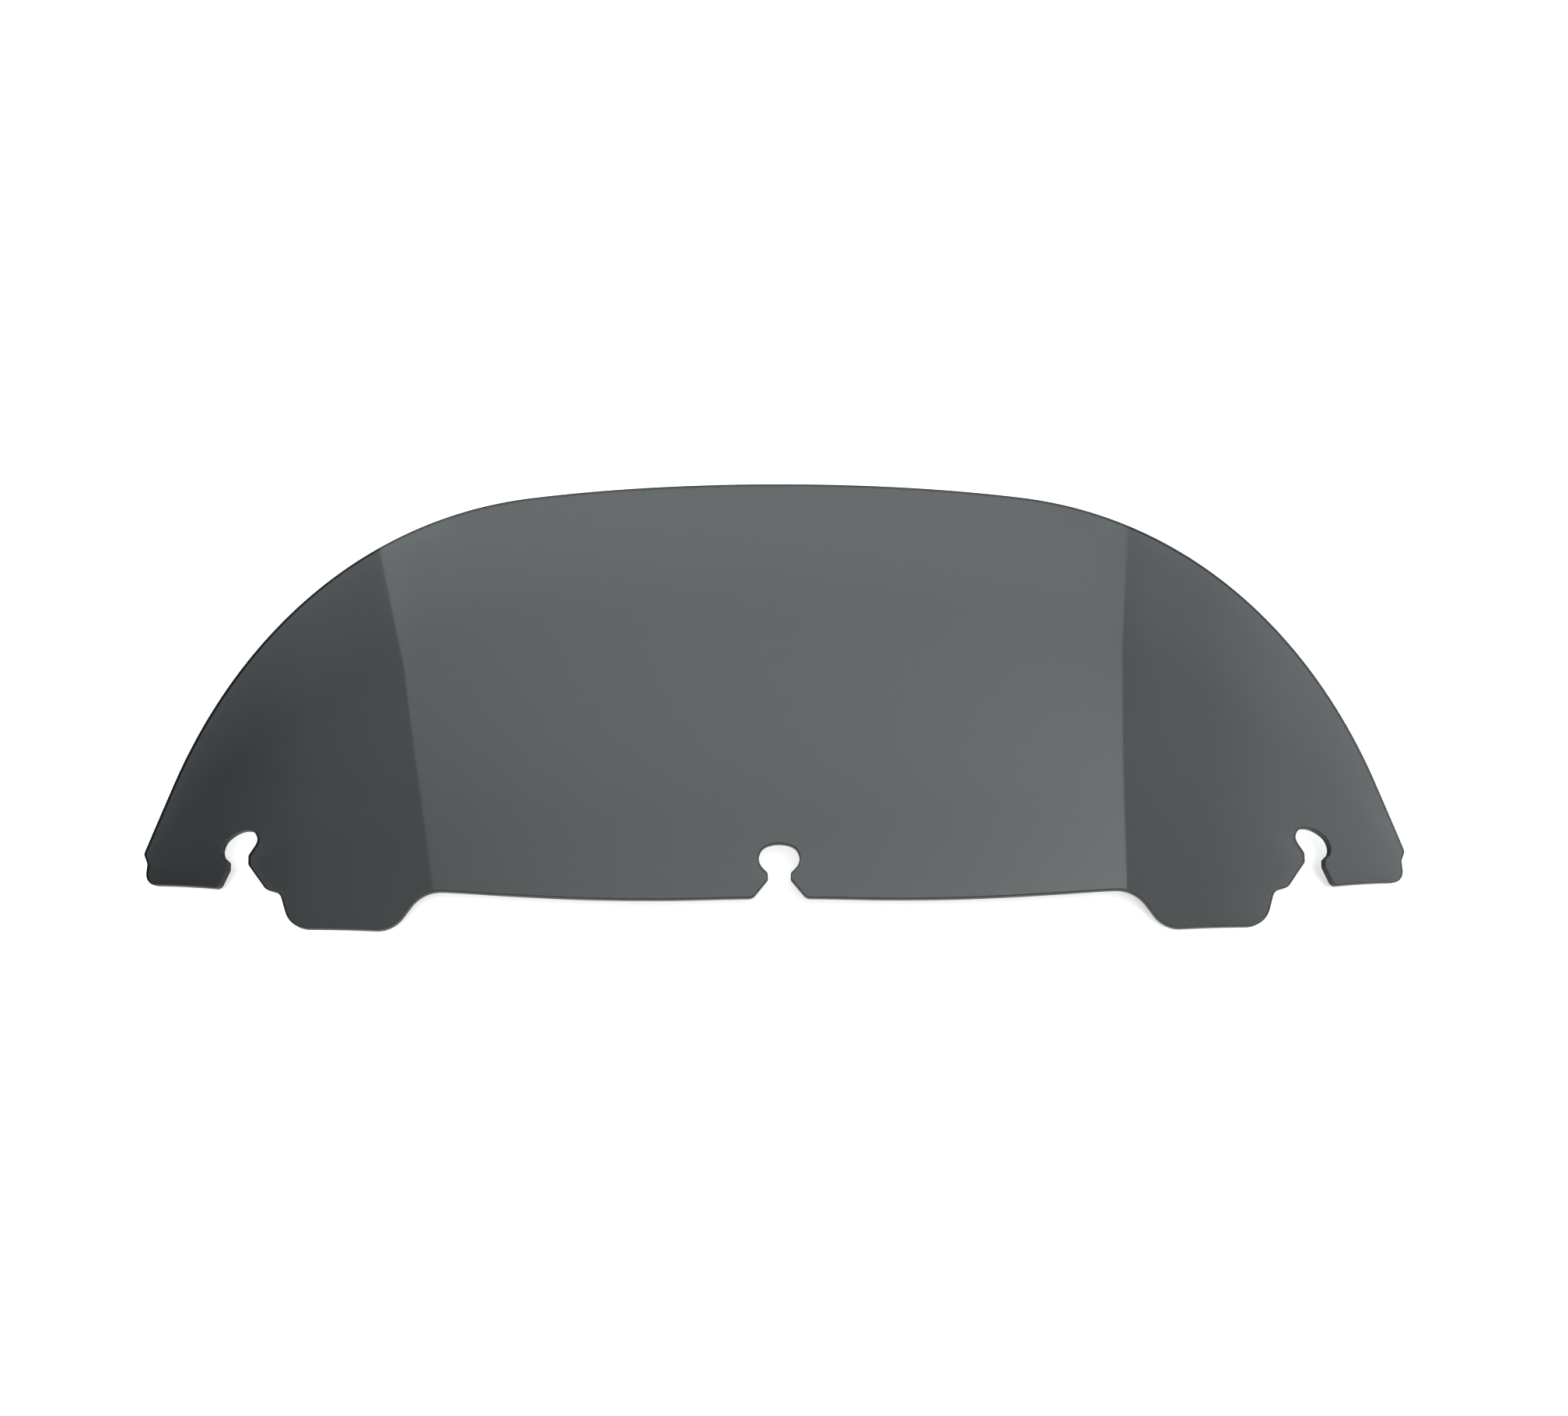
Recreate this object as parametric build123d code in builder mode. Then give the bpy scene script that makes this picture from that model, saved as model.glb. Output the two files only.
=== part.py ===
from build123d import *
import math
import os

# Smoked windshield screen for a motorcycle fairing: one bent and trimmed plastic sheet.
#
# The sheet is bent in one direction only. Its outline is drawn flat, as seen square to the
# middle of the sheet, and laid on the bent front face. The cut edges stand square to that face.
# The screen leans back on its two tabs and two tips, with its convex face towards -Y.

# Sheet
THICKNESS = 3.0
LEAN = 36.6                # degrees from upright, top edge towards +Y

# Bend: depth behind the middle = ARC_DEPTH * s**2 + WRAP_DEPTH * s**4, with s = x / HALF_WIDTH
HALF_WIDTH = 285.0
ARC_DEPTH = 16.2
WRAP_DEPTH = 68.0

# Untrimmed block that holds the bent face
BLANK_HALF_WIDTH = 300.0
BLANK_DEPTH = 140.0
BLANK_LOW = -20.0
BLANK_HIGH = 225.0
CUTTER_LEAD = 10.0         # how far the outline's prism starts in front of the sheet

# Top edge: a flat crown, a shoulder arc and a straight run down to each tip
CROWN_HEIGHT = 203.65
CROWN_RADIUS = 1195.0
CROWN_ANGLE = 5.27
SHOULDER_RADIUS = 199.4
SHOULDER_ANGLE = 58.9

# The rest of the +X half of the outline, as corners (across, up from the foot line) and their radii
TIP_RUN = 32.2             # straight run from the shoulder arc to the ear at the top of the tip
TIP_CORNERS = (
    (283.1, 52.6),         # waist of the tip
    (284.2, 42.9),         # foot of the tip
    (248.9, 30.9),         # outer side of the notch mouth
    (244.7, 39.0),         # outer side of the neck, low
    (244.7, 42.4),         # outer side of the neck, high
    (246.8, 44.9),         # start of the keyhole head
)
TIP_RADII = (2.5, 3.0, 7.5, 2.5, 2.5, 1.5)
TAB_CORNERS = (
    (233.9, 45.2),         # end of the keyhole head
    (235.3, 43.3),         # inner side of the neck, high
    (235.3, 38.9),         # inner side of the neck, low
    (227.0, 25.7),         # inner side of the notch mouth
    (220.5, 22.8),         # shoulder of the tab
    (215.7, 5.4),          # outer foot of the tab
    (170.0, -1.3),         # inner foot of the tab
    (156.8, 16.2),         # root of the tab
    (146.0, 15.05),
)
TAB_RADII = (1.5, 3.0, 4.5, 5.5, 13.0, 13.0, 15.0)
MOUTH_CORNERS = (
    (17.0, 8.8),
    (11.7, 8.85),          # mouth of the middle notch
    (4.95, 17.4),          # neck, low
    (5.1, 20.4),           # neck, high
    (7.2, 22.6),           # start of the keyhole head
)
MOUTH_RADII = (4.0, 1.5, 1.2)

# Points on the keyhole heads and on the bottom edge between the tabs
SIDE_HEAD = ((247.7, 47.6), (246.3, 52.0), (242.3, 54.6), (237.0, 55.35), (232.9, 53.7), (231.3, 50.0))
MIDDLE_HEAD = ((8.95, 26.8), (7.6, 31.1), (0, 33.85))
BOTTOM_EDGE = ((119.3, 12.0), (85.1, 9.3), (51.0, 8.35))

lean = math.radians(LEAN)
FACE_PLANE = Plane(origin=(0, 0, 0), x_dir=(1, 0, 0), z_dir=(0, -math.cos(lean), math.sin(lean)))
PLAN_PLANE = Plane(origin=(0, 0, 0), x_dir=(1, 0, 0), z_dir=(0, math.sin(lean), math.cos(lean)))


def bend_poles():
    """Poles of the Bezier curve that is exactly the bend's depth formula."""
    s = BLANK_HALF_WIDTH / HALF_WIDTH
    arc = ARC_DEPTH * s**2
    wrap = WRAP_DEPTH * s**4
    return (
        (-BLANK_HALF_WIDTH, arc + wrap),
        (-BLANK_HALF_WIDTH / 2, -wrap),
        (0, wrap - arc / 3),
        (BLANK_HALF_WIDTH / 2, -wrap),
        (BLANK_HALF_WIDTH, arc + wrap),
    )


with BuildPart() as blank:
    with BuildSketch(PLAN_PLANE.offset(BLANK_LOW)):
        with BuildLine():
            bend = Bezier(*bend_poles())
            Polyline(bend @ 1, (BLANK_HALF_WIDTH, BLANK_DEPTH), (-BLANK_HALF_WIDTH, BLANK_DEPTH), bend @ 0)
        make_face()
    extrude(amount=BLANK_HIGH - BLANK_LOW)

with BuildPart() as cutter:
    with BuildSketch(FACE_PLANE.offset(CUTTER_LEAD)) as outline:
        with BuildLine():
            crown = JernArc((0, CROWN_HEIGHT), (1, 0), CROWN_RADIUS, -CROWN_ANGLE)
            shoulder = JernArc(crown @ 1, crown % 1, SHOULDER_RADIUS, -SHOULDER_ANGLE)
            tip_top = shoulder @ 1 + (shoulder % 1) * TIP_RUN
            tip = FilletPolyline(shoulder @ 1, tip_top, *TIP_CORNERS, radius=TIP_RADII)
            tab = FilletPolyline(*TAB_CORNERS, radius=TAB_RADII)
            Spline(tip @ 1, *SIDE_HEAD, tab @ 0, tangents=(tip % 1, tab % 0))
            mouth = FilletPolyline(*MOUTH_CORNERS, radius=MOUTH_RADII)
            Spline(tab @ 1, *BOTTOM_EDGE, mouth @ 0, tangents=(tab % 1, mouth % 0))
            Spline(mouth @ 1, *MIDDLE_HEAD, tangents=(mouth % 1, (-1, 0)))
            mirror(about=Plane.YZ)
        make_face()
    extrude(amount=-BLANK_DEPTH)

bent_face = blank.faces().filter_by(GeomType.EXTRUSION)[0]
trimmed_face = bent_face & cutter.part

# Square to the face, so the back outline is the front outline moved along the face's normals
BACKWARD = -Vector(FACE_PLANE.z_dir)
with BuildPart() as sheet:
    thicken(trimmed_face, amount=THICKNESS, normal_override=BACKWARD)

# Origin under the middle of the sheet, on the surface that its tabs and tips stand on
reach = sheet.part.bounding_box()
with BuildPart() as screen:
    with Locations((0, -(reach.min.Y + reach.max.Y) / 2, -reach.min.Z)):
        add(sheet.part)

os.makedirs("parts", exist_ok=True)
screen.part.label = "screen"
export_step(screen.part, "parts/screen.step")
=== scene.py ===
"""Looks for the smoked windshield screen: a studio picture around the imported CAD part."""

import math

import bpy
from mathutils import Matrix, Vector
from mathutils.geometry import delaunay_2d_cdt
from mathutils.kdtree import KDTree


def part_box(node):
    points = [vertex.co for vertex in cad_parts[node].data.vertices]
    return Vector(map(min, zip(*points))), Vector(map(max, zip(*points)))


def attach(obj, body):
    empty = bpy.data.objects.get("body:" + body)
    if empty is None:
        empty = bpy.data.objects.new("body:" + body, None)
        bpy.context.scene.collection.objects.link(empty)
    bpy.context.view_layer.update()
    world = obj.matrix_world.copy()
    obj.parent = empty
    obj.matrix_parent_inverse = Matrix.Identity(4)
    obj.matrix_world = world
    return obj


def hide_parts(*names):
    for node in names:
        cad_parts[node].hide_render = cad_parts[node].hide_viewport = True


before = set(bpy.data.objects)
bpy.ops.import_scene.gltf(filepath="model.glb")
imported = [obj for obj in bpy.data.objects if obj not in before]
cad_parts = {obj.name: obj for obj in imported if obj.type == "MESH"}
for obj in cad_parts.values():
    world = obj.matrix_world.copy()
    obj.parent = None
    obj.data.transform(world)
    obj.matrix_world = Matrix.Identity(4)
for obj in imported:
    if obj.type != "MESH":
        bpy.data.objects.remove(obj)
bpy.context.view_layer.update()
screen_low, screen_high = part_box("screen")

MM = 0.001

# ---------------------------------------------------------------------------
# The sheet, in millimetres, as the CAD part has it
# ---------------------------------------------------------------------------
THICKNESS = 3.0
EDGE_ROUND = 0.55          # broken edge, on both faces
LEAN = math.radians(36.6)

# Bend: depth behind the middle = ARC_DEPTH * s**2 + WRAP_DEPTH * s**4, with s = x / HALF_WIDTH
HALF_WIDTH = 285.0
ARC_DEPTH = 16.2
WRAP_DEPTH = 68.0

CROWN_HEIGHT = 203.65
CROWN_RADIUS = 1195.0
CROWN_ANGLE = math.radians(5.27)
SHOULDER_RADIUS = 199.4
SHOULDER_ANGLE = math.radians(58.9)
TIP_RUN = 32.2

# The rest of the +X half of the outline, as (across, up, corner radius)
TIP_TOP_RADIUS = 2.5
TIP_CORNERS = (
    (283.1, 52.6, 3.0),
    (284.2, 42.9, 7.5),
    (248.9, 30.9, 2.5),
    (244.7, 39.0, 2.5),
    (244.7, 42.4, 1.5),
    (246.8, 44.9, 0.0),
)
SIDE_HEAD = ((247.7, 47.6), (246.3, 52.0), (242.3, 54.6), (237.0, 55.35), (232.9, 53.7), (231.3, 50.0))
TAB_CORNERS = (
    (233.9, 45.2, 0.0),
    (235.3, 43.3, 1.5),
    (235.3, 38.9, 3.0),
    (227.0, 25.7, 4.5),
    (220.5, 22.8, 5.5),
    (215.7, 5.4, 13.0),
    (170.0, -1.3, 13.0),
    (156.8, 16.2, 15.0),
    (146.0, 15.05, 0.0),
)
BOTTOM_EDGE = ((119.3, 12.0), (85.1, 9.3), (51.0, 8.35))
MOUTH_CORNERS = (
    (17.0, 8.8, 0.0),
    (11.7, 8.85, 4.0),
    (4.95, 17.4, 1.5),
    (5.1, 20.4, 1.2),
    (7.2, 22.6, 0.0),
)
MIDDLE_HEAD = ((8.95, 26.8), (7.6, 31.1), (0.0, 33.85))

# Mesh density
OUTLINE_STEP = 0.8         # between points along the outline
CORNER_STEPS = 10
GRID_ACROSS = 2.0          # between columns of points inside the outline
GRID_UP = 5.0              # between points of a column
GRID_CLEARANCE = 0.9       # grid points stay this far inside the outline
ROUND_STEPS = 5

# Painted highlight: a band along the outer edge of the shoulders and tips where the sheet is made
# clearer, so that it shows lighter there
PAINTED_RIM_LIGHT_WIDTH = 6.0            # its strength falls to a third over this
PAINTED_RIM_LIGHT_ABOVE = 60.0           # it runs along the shoulders, which are above and beyond these,
PAINTED_RIM_LIGHT_BEYOND = 150.0
PAINTED_RIM_LIGHT_TIP = 270.0            # and along the tips, which are beyond this


def arc_from(start, heading, radius, angle):
    """Points of a clockwise arc that leaves start along heading, and its last heading."""
    side = Vector((heading.y, -heading.x))
    centre = start + side * radius
    steps = max(2, math.ceil(radius * angle / OUTLINE_STEP))
    points = []
    for i in range(1, steps + 1):
        turn = Matrix.Rotation(-angle * i / steps, 2)
        points.append(centre + turn @ (start - centre))
    return points, Matrix.Rotation(-angle, 2) @ heading


def divided(points):
    """The same run of straight lines, with points no further apart than OUTLINE_STEP."""
    result = [points[0]]
    for a, b in zip(points, points[1:]):
        steps = max(1, math.ceil((b - a).length / OUTLINE_STEP))
        for i in range(1, steps + 1):
            result.append(a.lerp(b, i / steps))
    return result


def rounded(corners):
    """A run of straight lines through (across, up, radius) corners, with an arc at each corner."""
    points = [Vector(corners[0][:2])]
    for before, corner, after in zip(corners, corners[1:], corners[2:]):
        here = Vector(corner[:2])
        back = (Vector(before[:2]) - here).normalized()
        ahead = (Vector(after[:2]) - here).normalized()
        half = back.angle(ahead) / 2
        radius = corner[2]
        reach = radius / math.tan(half)
        centre = here + (back + ahead).normalized() * (radius / math.sin(half))
        start = here + back * reach - centre
        finish = here + ahead * reach - centre
        turn = math.atan2(start.cross(finish), start.dot(finish))
        for i in range(CORNER_STEPS + 1):
            points.append(centre + Matrix.Rotation(turn * i / CORNER_STEPS, 2) @ start)
    points.append(Vector(corners[-1][:2]))
    return divided(points)


def through(points, first_heading, last_heading):
    """A smooth curve through the points, with the given headings at its two ends."""
    points = [Vector(p) for p in points]
    slopes = [first_heading.normalized()]
    for a, b, c in zip(points, points[1:], points[2:]):
        near = (b - a).length
        far = (c - b).length
        slopes.append(((b - a) / near * far + (c - b) / far * near) / (near + far))
    slopes.append(last_heading.normalized())
    result = [points[0]]
    for i in range(len(points) - 1):
        a, b = points[i], points[i + 1]
        span = (b - a).length
        steps = max(2, math.ceil(span / OUTLINE_STEP))
        for k in range(1, steps + 1):
            t = k / steps
            result.append(
                a * (2 * t**3 - 3 * t**2 + 1)
                + slopes[i] * span * (t**3 - 2 * t**2 + t)
                + b * (3 * t**2 - 2 * t**3)
                + slopes[i + 1] * span * (t**3 - t**2)
            )
    return result


def half_outline():
    """The +X half, from the top of the crown round to the top of the middle keyhole."""
    crown, heading = arc_from(Vector((0, CROWN_HEIGHT)), Vector((1, 0)), CROWN_RADIUS, CROWN_ANGLE)
    shoulder, heading = arc_from(crown[-1], heading, SHOULDER_RADIUS, SHOULDER_ANGLE)
    tip_top = shoulder[-1] + heading * TIP_RUN
    tip = rounded(((*shoulder[-1], 0.0), (*tip_top, TIP_TOP_RADIUS), *TIP_CORNERS))
    tab = rounded(TAB_CORNERS)
    mouth = rounded(MOUTH_CORNERS)
    side_head = through((tip[-1], *SIDE_HEAD, tab[0]), tip[-1] - tip[-2], tab[1] - tab[0])
    bottom = through((tab[-1], *BOTTOM_EDGE, mouth[0]), tab[-1] - tab[-2], mouth[1] - mouth[0])
    middle_head = through((mouth[-1], *MIDDLE_HEAD), mouth[-1] - mouth[-2], Vector((-1, 0)))
    runs = (crown, shoulder, tip[1:], side_head[1:], tab[1:], bottom[1:], mouth[1:], middle_head[1:])
    return [Vector((0, CROWN_HEIGHT))] + [point for run in runs for point in run]


def whole_outline():
    """The closed outline, clockwise as seen from the front."""
    right = half_outline()
    left = [Vector((-p.x, p.y)) for p in reversed(right[1:-1])]
    return right + left


def depth(x):
    s = x / HALF_WIDTH
    return ARC_DEPTH * s**2 + WRAP_DEPTH * s**4


def slope(x):
    s = x / HALF_WIDTH
    return (2 * ARC_DEPTH * s + 4 * WRAP_DEPTH * s**3) / HALF_WIDTH


def face_point(x, up):
    return Vector((x, depth(x), up))


def face_normal(x):
    return Vector((slope(x), -1, 0)).normalized()


def edge_section():
    """Points of the edge from front to back, as parts of its rounding.

    Each is (depth below its face, spread outward, 0 in front or 1 at the back,
    and how much its normal points out of the face and outward).
    """
    section = []
    for k in range(ROUND_STEPS + 1):
        a = math.pi / 2 * k / ROUND_STEPS
        section.append((1 - math.cos(a), math.sin(a) - 1, 0, math.cos(a), math.sin(a)))
    for k in range(ROUND_STEPS, -1, -1):
        a = math.pi / 2 * k / ROUND_STEPS
        section.append((math.cos(a) - 1, math.sin(a) - 1, 1, -math.cos(a), math.sin(a)))
    return section


def grid_inside(loop):
    """Columns of points inside the loop, clear of it."""
    found = []
    half_count = int(HALF_WIDTH / GRID_ACROSS)
    for column in range(-half_count, half_count + 1):
        x = column * GRID_ACROSS
        crossings = []
        for a, b in zip(loop, loop[1:] + loop[:1]):
            if (a.x > x) != (b.x > x):
                crossings.append(a.y + (b.y - a.y) * (x - a.x) / (b.x - a.x))
        crossings.sort()
        for low, high in zip(crossings[0::2], crossings[1::2]):
            room = high - low - 2 * GRID_CLEARANCE
            steps = int(room / GRID_UP) + 1
            for k in range(steps if room > 0 else 0):
                found.append(Vector((x, low + GRID_CLEARANCE + room * (k + 0.5) / steps)))
    return found


def painted_rim_light_weights(points, outline):
    """Weight of the painted highlight at each point: how close it is to the outer edge of the shoulders
    and tips, 1 on it, 0 far inside.
    """
    outer = []
    for p in outline:
        on_shoulder = p.y > PAINTED_RIM_LIGHT_ABOVE and abs(p.x) > PAINTED_RIM_LIGHT_BEYOND
        if on_shoulder or abs(p.x) > PAINTED_RIM_LIGHT_TIP:
            outer.append(face_point(*p))
    tree = KDTree(len(outer))
    for i, point in enumerate(outer):
        tree.insert(point, i)
    tree.balance()
    return [math.exp(-tree.find(point)[2] / PAINTED_RIM_LIGHT_WIDTH) for point in points]


def screen_mesh():
    """Front and back faces on one triangulation, joined by a wall with rounded edges.

    The marks say for each point whether it is on the cut edge and how close it is to the rim, which
    weights a painted highlight.
    """
    outline = whole_outline()
    count = len(outline)
    rims = []
    for i, p in enumerate(outline):
        before = face_point(*outline[i - 1])
        after = face_point(*outline[(i + 1) % count])
        normal = face_normal(p.x)
        rims.append((face_point(*p), normal, normal.cross(after - before).normalized()))

    inner = [(point - outward * EDGE_ROUND).xz for point, normal, outward in rims]
    flat, _, triangles, sources, _, _ = delaunay_2d_cdt(
        inner + grid_inside(inner), [], [list(range(count))], 1, 1e-6
    )
    place_of = {source: place for place, found in enumerate(sources) for source in found}
    back_start = len(flat)
    verts = [face_point(*p) for p in flat]
    normals = [face_normal(p.x) for p in flat]
    verts += [face_point(*p) - face_normal(p.x) * THICKNESS for p in flat]
    normals += [-face_normal(p.x) for p in flat]
    on_edge = [0.0] * len(verts)
    painted_rim_light = painted_rim_light_weights(verts[:back_start], outline) * 2
    faces = []
    for a, b, c in triangles:
        faces.append((a, b, c))
        faces.append((back_start + c, back_start + b, back_start + a))

    rings = [[place_of[i] for i in range(count)]]
    for sunk, spread, at_back, out_of_face, out_of_edge in edge_section()[1:-1]:
        rings.append(list(range(len(verts), len(verts) + count)))
        for point, normal, outward in rims:
            sink = sunk * EDGE_ROUND + at_back * THICKNESS
            verts.append(point - normal * sink + outward * spread * EDGE_ROUND)
            normals.append((normal * out_of_face + outward * out_of_edge).normalized())
            on_edge.append(1.0)
            painted_rim_light.append(1.0)
    rings.append([back_start + place_of[i] for i in range(count)])
    for ring, next_ring in zip(rings, rings[1:]):
        for i in range(count):
            j = (i + 1) % count
            faces.append((ring[i], ring[j], next_ring[j], next_ring[i]))
    return verts, normals, faces, {"cut_edge": on_edge, "painted_rim_light": painted_rim_light}


def leaned(v):
    """From the sheet's own frame to the row frame, before it is set down on the floor."""
    return Matrix.Rotation(-LEAN, 3, "X") @ v


def build_screen():
    verts, normals, faces, marks = screen_mesh()
    verts = [leaned(v) * MM for v in verts]
    low = Vector([min(v[k] for v in verts) for k in range(3)])
    high = Vector([max(v[k] for v in verts) for k in range(3)])
    middle = (low + high) / 2
    cad_middle = (screen_low + screen_high) / 2
    shift = Vector((0, cad_middle.y - middle.y, screen_low.z - low.z))
    mesh = bpy.data.meshes.new("smoked_screen")
    mesh.from_pydata([v + shift for v in verts], [], faces)
    mesh.polygons.foreach_set("use_smooth", [True] * len(mesh.polygons))
    mesh.normals_split_custom_set_from_vertices([leaned(n) for n in normals])
    for name, values in marks.items():
        mesh.attributes.new(name, "FLOAT", "POINT").data.foreach_set("value", values)
    piece = bpy.data.objects.new("smoked_screen", mesh)
    bpy.context.scene.collection.objects.link(piece)
    return piece, shift


# ---------------------------------------------------------------------------
# Materials
# ---------------------------------------------------------------------------
def new_material(name):
    material = bpy.data.materials.new(name)
    material.use_nodes = True
    nodes = material.node_tree.nodes
    nodes.clear()
    return material, nodes, material.node_tree.links


def noise(nodes, links, where, scale, detail=2.0, rough=0.5):
    node = nodes.new("ShaderNodeTexNoise")
    node.inputs["Scale"].default_value = scale
    node.inputs["Detail"].default_value = detail
    node.inputs["Roughness"].default_value = rough
    links.new(where, node.inputs["Vector"])
    return node.outputs["Fac"]


def ranged(nodes, links, value, from_low, from_high, to_low, to_high):
    node = nodes.new("ShaderNodeMapRange")
    node.inputs["From Min"].default_value = from_low
    node.inputs["From Max"].default_value = from_high
    node.inputs["To Min"].default_value = to_low
    node.inputs["To Max"].default_value = to_high
    links.new(value, node.inputs["Value"])
    return node.outputs["Result"]


def combined(nodes, links, operation, a, b):
    node = nodes.new("ShaderNodeMath")
    node.operation = operation
    links.new(a, node.inputs[0])
    links.new(b, node.inputs[1])
    return node.outputs["Value"]


def bumped(nodes, links, height, distance, strength):
    node = nodes.new("ShaderNodeBump")
    node.inputs["Distance"].default_value = distance
    node.inputs["Strength"].default_value = strength
    links.new(height, node.inputs["Height"])
    return node.outputs["Normal"]


SMOKE_DENSITY = 1000.0                   # absorption per metre
SMOKE_TINT = (0.0, 0.045, 0.062, 1.0)    # what the dye spares of each colour
PLASTIC_IOR = 1.585
SMUDGE_SCALE = 14.0
POLISH = (0.028, 0.045)                  # roughness of the faces, clean and smudged
WAVE_SCALE = 7.0
WAVE_HEIGHT = 0.0004
WAVE_STRENGTH = 0.12
CUT_ROUGHNESS = 0.4                      # the cut edges are satin, the faces polished
# painted shade: the cut edges are coloured near black, standing in for the dark surroundings they mirror
CUT_PAINTED_SHADE = 0.015
CUT_GLOSS = 0.15                         # specular level; the faces have the usual 0.5
CLARITY = 0.72                           # what each face lets through
PAINTED_LIGHT_LOW = (0.010, 0.055)             # metres: painted light, the sheet is made fully clear below the first height so that its lower part shows lighter


def smoked_plastic():
    """Clear polished polycarbonate with a dark smoke dye in its depth and a little dust on it, plus
    painted light: clearer near the bottom and the outer rim, cut edges painted near black.
    """
    material, nodes, links = new_material("smoked_plastic")
    output = nodes.new("ShaderNodeOutputMaterial")
    place = nodes.new("ShaderNodeTexCoord").outputs["Object"]

    glass = nodes.new("ShaderNodeBsdfPrincipled")
    glass.inputs["IOR"].default_value = PLASTIC_IOR
    smudges = noise(nodes, links, place, SMUDGE_SCALE, 4.0, 0.6)
    polish = ranged(nodes, links, smudges, 0.35, 0.75, *POLISH)
    cut = nodes.new("ShaderNodeAttribute")
    cut.attribute_name = "cut_edge"
    on_cut = cut.outputs["Fac"]
    saw_marks = ranged(nodes, links, on_cut, 0.0, 1.0, 0.0, CUT_ROUGHNESS)
    links.new(combined(nodes, links, "MAXIMUM", polish, saw_marks), glass.inputs["Roughness"])
    # Painted shade: no transmission on the cut edges, so that they show dark
    links.new(ranged(nodes, links, on_cut, 0.1, 0.2, 1.0, 0.0), glass.inputs["Transmission Weight"])
    split = nodes.new("ShaderNodeSeparateXYZ")
    links.new(place, split.inputs["Vector"])
    # Painted light: the sheet is made clearer near the bottom, so its lower part shows lighter
    clarity_with_painted_light = ranged(nodes, links, split.outputs["Z"], *PAINTED_LIGHT_LOW, 1.0, CLARITY)
    # Painted highlight: the sheet is made clearer, so lighter, near the outer rim of the shoulders and
    # tips
    painted_rim_light = nodes.new("ShaderNodeAttribute")
    painted_rim_light.attribute_name = "painted_rim_light"
    painted_rim_light_clarity = ranged(nodes, links, painted_rim_light.outputs["Fac"], 0.0, 1.0, CLARITY, 1.0)
    clarity_with_painted_light = combined(nodes, links, "MAXIMUM", clarity_with_painted_light, painted_rim_light_clarity)
    # Painted shade: the cut edges are coloured near black and given less gloss, standing in for the dark
    # they mirror
    tone = ranged(nodes, links, on_cut, 0.0, 0.1, 1.0, CUT_PAINTED_SHADE)
    links.new(combined(nodes, links, "MULTIPLY", clarity_with_painted_light, tone), glass.inputs["Base Color"])
    links.new(ranged(nodes, links, on_cut, 0.0, 1.0, 0.5, CUT_GLOSS), glass.inputs["Specular IOR Level"])
    waves = noise(nodes, links, place, WAVE_SCALE, 1.0, 0.3)
    links.new(bumped(nodes, links, waves, WAVE_HEIGHT, WAVE_STRENGTH), glass.inputs["Normal"])

    dye = nodes.new("ShaderNodeVolumeAbsorption")
    dye.inputs["Color"].default_value = SMOKE_TINT
    dye.inputs["Density"].default_value = SMOKE_DENSITY
    links.new(glass.outputs["BSDF"], output.inputs["Surface"])
    links.new(dye.outputs["Volume"], output.inputs["Volume"])
    return material


FLOOR_GLOW = 0.55          # the floor is a light table, lit a little from below
FLOOR_TONES = (0.90, 0.93)
GRAIN_SCALE = 900.0
GRAIN_HEIGHT = 0.0001


def floor_paper():
    material, nodes, links = new_material("floor_paper")
    output = nodes.new("ShaderNodeOutputMaterial")
    place = nodes.new("ShaderNodeTexCoord").outputs["Object"]
    paper = nodes.new("ShaderNodeBsdfPrincipled")
    paper.inputs["Specular IOR Level"].default_value = 0.1
    tone = nodes.new("ShaderNodeValToRGB")
    for stop, grey in zip(tone.color_ramp.elements, FLOOR_TONES):
        stop.color = (grey, grey, grey, 1)
    links.new(noise(nodes, links, place, 3.0, 3.0), tone.inputs["Fac"])
    links.new(tone.outputs["Color"], paper.inputs["Base Color"])
    grain = noise(nodes, links, place, GRAIN_SCALE, 2.0)
    links.new(ranged(nodes, links, grain, 0.3, 0.7, 0.75, 0.9), paper.inputs["Roughness"])
    links.new(bumped(nodes, links, grain, GRAIN_HEIGHT, 0.1), paper.inputs["Normal"])
    paper.inputs["Emission Color"].default_value = (1, 1, 1, 1)
    glow = ranged(nodes, links, grain, 0.0, 1.0, FLOOR_GLOW - 0.01, FLOOR_GLOW + 0.01)
    links.new(glow, paper.inputs["Emission Strength"])
    links.new(paper.outputs["BSDF"], output.inputs["Surface"])
    return material


# ---------------------------------------------------------------------------
# Studio
# ---------------------------------------------------------------------------
FLOOR_SIZE = 80.0
STUDIO_TINT = (0.955, 1.0, 1.01, 1.0)    # colour of the soft box and of the surroundings
CARD_RISE = math.radians(56.6)
CARD_DISTANCE = 1.5
CARD_CENTRE = Vector((0, 0, 0.06))       # what the soft box looks at
# Outline of the soft box as the front face mirrors it: metres right and up from its middle
CARD_SHAPE = (
    (-0.60, -0.35),
    (-0.822, -0.045),
    (-0.976, 0.126),
    (-1.162, 0.258),
    (-1.55, 0.53),
    (1.00, 0.53),
    (0.920, 0.221),
    (0.878, 0.120),
    (0.879, 0.036),
    (0.894, -0.033),
    (0.95, -0.35),
)
CARD_GLOW = (1.3, 2.54)    # at its left and right ends
CARD_END = 0.9
CARD_UNEVEN = 0.4          # brighter towards its upper left and lower right corners


def build_floor():
    mesh = bpy.data.meshes.new("studio_floor")
    h = FLOOR_SIZE / 2
    z = screen_low.z
    mesh.from_pydata([(-h, -h, z), (h, -h, z), (h, h, z), (-h, h, z)], [], [(0, 1, 2, 3)])
    floor = bpy.data.objects.new("studio_floor", mesh)
    bpy.context.scene.collection.objects.link(floor)
    floor.data.materials.append(floor_paper())


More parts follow.
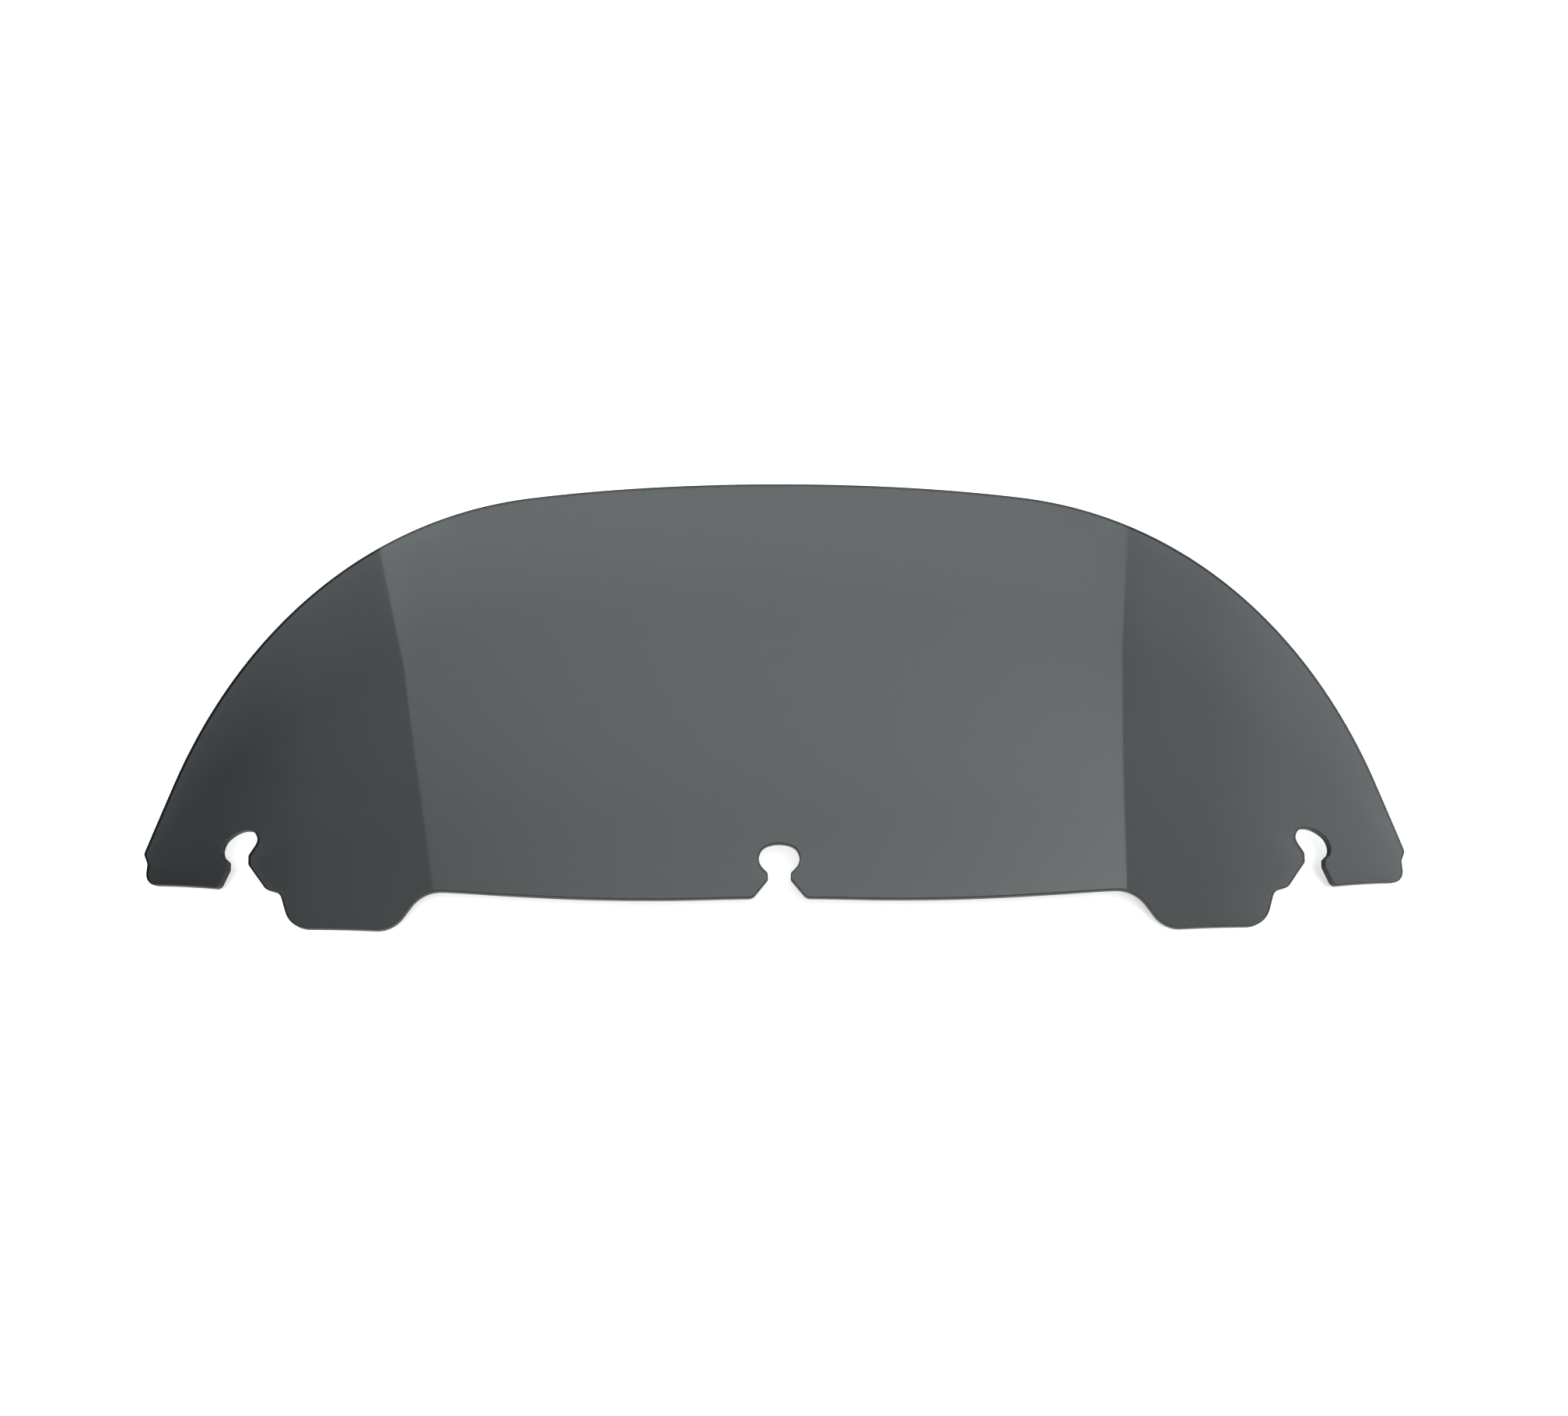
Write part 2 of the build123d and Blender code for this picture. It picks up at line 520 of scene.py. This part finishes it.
def build_card():
    """The soft box high in front, whose straight sides show in the polished front face.

    It is hidden from the camera, so that it doesn't stand in the way of a view from above.
    """
    material, nodes, links = new_material("soft_box_glow")
    output = nodes.new("ShaderNodeOutputMaterial")
    place = nodes.new("ShaderNodeTexCoord").outputs["Object"]
    split = nodes.new("ShaderNodeSeparateXYZ")
    links.new(place, split.inputs["Vector"])
    glow = nodes.new("ShaderNodeEmission")
    glow.inputs["Color"].default_value = STUDIO_TINT
    across = ranged(nodes, links, split.outputs["X"], -CARD_END, CARD_END, *CARD_GLOW)
    twist = combined(nodes, links, "MULTIPLY", split.outputs["X"], split.outputs["Y"])
    uneven = ranged(nodes, links, twist, -0.2, 0.2, 1 + CARD_UNEVEN, 1 - CARD_UNEVEN)
    links.new(combined(nodes, links, "MULTIPLY", across, uneven), glow.inputs["Strength"])
    links.new(glow.outputs["Emission"], output.inputs["Surface"])

    toward = Vector((0, -math.cos(CARD_RISE), math.sin(CARD_RISE)))
    up = Vector((0, math.sin(CARD_RISE), math.cos(CARD_RISE)))
    middle = toward * CARD_DISTANCE + CARD_CENTRE
    mesh = bpy.data.meshes.new("soft_box")
    mesh.from_pydata([(a, b, 0) for a, b in CARD_SHAPE], [], [list(range(len(CARD_SHAPE)))])
    card = bpy.data.objects.new("soft_box", mesh)
    bpy.context.scene.collection.objects.link(card)
    frame_axes = Matrix((Vector((1, 0, 0)), up, Vector((1, 0, 0)).cross(up))).transposed().to_4x4()
    card.matrix_world = Matrix.Translation(middle) @ frame_axes
    card.data.materials.append(material)
    card.visible_camera = False


# How bright the surroundings are, from straight left (-1) to straight right (+1)
SURROUNDINGS = (
    (-1.0, 0.09),
    (-0.99, 0.08),
    (-0.95, 0.18),
    (-0.74, 0.56),
    (0.53, 1.18),
    (0.66, 1.22),
    (0.86, 1.56),
    (0.94, 1.50),
    (1.0, 1.26),
)
SURROUNDINGS_MOST = 1.8
UNLIT = 0.12               # what is left of it overhead and behind the screen
OVERHEAD = (0.75, 0.95)    # height of a direction where the dark overhead starts and is full
BEHIND = (0.3, 0.6)        # the same for directions towards the back


def build_world():
    """Surroundings that the bent sides of the screen mirror: dark on the left, bright on the right."""
    world = bpy.data.worlds.new("studio_world")
    bpy.context.scene.world = world
    world.use_nodes = True
    nodes, links = world.node_tree.nodes, world.node_tree.links
    nodes.clear()
    output = nodes.new("ShaderNodeOutputWorld")
    background = nodes.new("ShaderNodeBackground")
    background.inputs["Color"].default_value = STUDIO_TINT
    split = nodes.new("ShaderNodeSeparateXYZ")
    links.new(nodes.new("ShaderNodeTexCoord").outputs["Generated"], split.inputs["Vector"])
    around = nodes.new("ShaderNodeValToRGB")
    links.new(ranged(nodes, links, split.outputs["X"], -1.0, 1.0, 0.0, 1.0), around.inputs["Fac"])
    stops = around.color_ramp.elements
    for x, _ in SURROUNDINGS[1:-1]:
        stops.new((x + 1) / 2)
    for stop, (_, strength) in zip(stops, SURROUNDINGS):
        stop.color = (strength / SURROUNDINGS_MOST,) * 3 + (1,)
    level = ranged(nodes, links, around.outputs["Color"], 0.0, 1.0, 0.0, SURROUNDINGS_MOST)
    ceiling = ranged(nodes, links, split.outputs["Z"], *OVERHEAD, 1.0, UNLIT)
    behind = ranged(nodes, links, split.outputs["Y"], *BEHIND, 1.0, UNLIT)
    level = combined(nodes, links, "MULTIPLY", level, combined(nodes, links, "MULTIPLY", ceiling, behind))
    links.new(level, background.inputs["Strength"])
    links.new(background.outputs["Background"], output.inputs["Surface"])


FRONT_LIGHT_RISE = math.radians(19.0)
FRONT_LIGHT_SPREAD = math.radians(7.0)
FRONT_LIGHT_STRENGTH = 4.7


def build_front_light():
    """Soft low light from the front, which leaves the shadow close under the lower edge.

    It lights the floor only; the screen doesn't mirror it.
    """
    data = bpy.data.lights.new("front_light", "SUN")
    data.energy = FRONT_LIGHT_STRENGTH
    data.angle = FRONT_LIGHT_SPREAD
    light = bpy.data.objects.new("front_light", data)
    light.rotation_euler = (math.pi / 2 - FRONT_LIGHT_RISE, 0, 0)
    light.visible_glossy = False
    light.visible_transmission = False
    bpy.context.scene.collection.objects.link(light)


# Camera: where it looks from, as seen from the screen's middle
VIEW_BELOW_NORMAL = math.radians(19.9)
VIEW_TURN = math.radians(-1.2)
VIEW_ROLL = math.radians(-0.52)
VIEW_DISTANCE = 3.0
VIEW_MIDDLE_UP = 97.0      # millimetres up the sheet
VIEW_ASIDE = 0.0027        # the picture's middle is this far to the right of the screen's
LENS = 155.9
SENSOR = 36.0


def build_camera(shift):
    data = bpy.data.cameras.new("camera")
    data.lens = LENS
    data.sensor_width = SENSOR
    data.clip_end = 100.0
    camera = bpy.data.objects.new("camera", data)
    bpy.context.scene.collection.objects.link(camera)
    bpy.context.scene.camera = camera
    middle = leaned(Vector((0, 0, VIEW_MIDDLE_UP))) * MM + shift
    back = Vector((
        math.sin(VIEW_TURN) * math.cos(VIEW_BELOW_NORMAL),
        -math.cos(VIEW_TURN) * math.cos(VIEW_BELOW_NORMAL),
        -math.sin(VIEW_BELOW_NORMAL),
    ))
    up = (Vector((0, 0, 1)) - back * back.z).normalized()
    right = up.cross(back)
    axes = Matrix((leaned(right), leaned(up), leaned(back))).transposed().to_4x4()
    axes = axes @ Matrix.Rotation(VIEW_ROLL, 4, "Z")
    place = middle + leaned(back) * VIEW_DISTANCE + axes.to_3x3() @ Vector((VIEW_ASIDE, 0, 0))
    camera.matrix_world = Matrix.Translation(place) @ axes


screen, shift = build_screen()
screen.data.materials.append(smoked_plastic())
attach(screen, "root")
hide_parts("screen")
build_floor()
build_card()
build_world()
build_front_light()
build_camera(shift)
bpy.context.scene.view_settings.view_transform = "Standard"
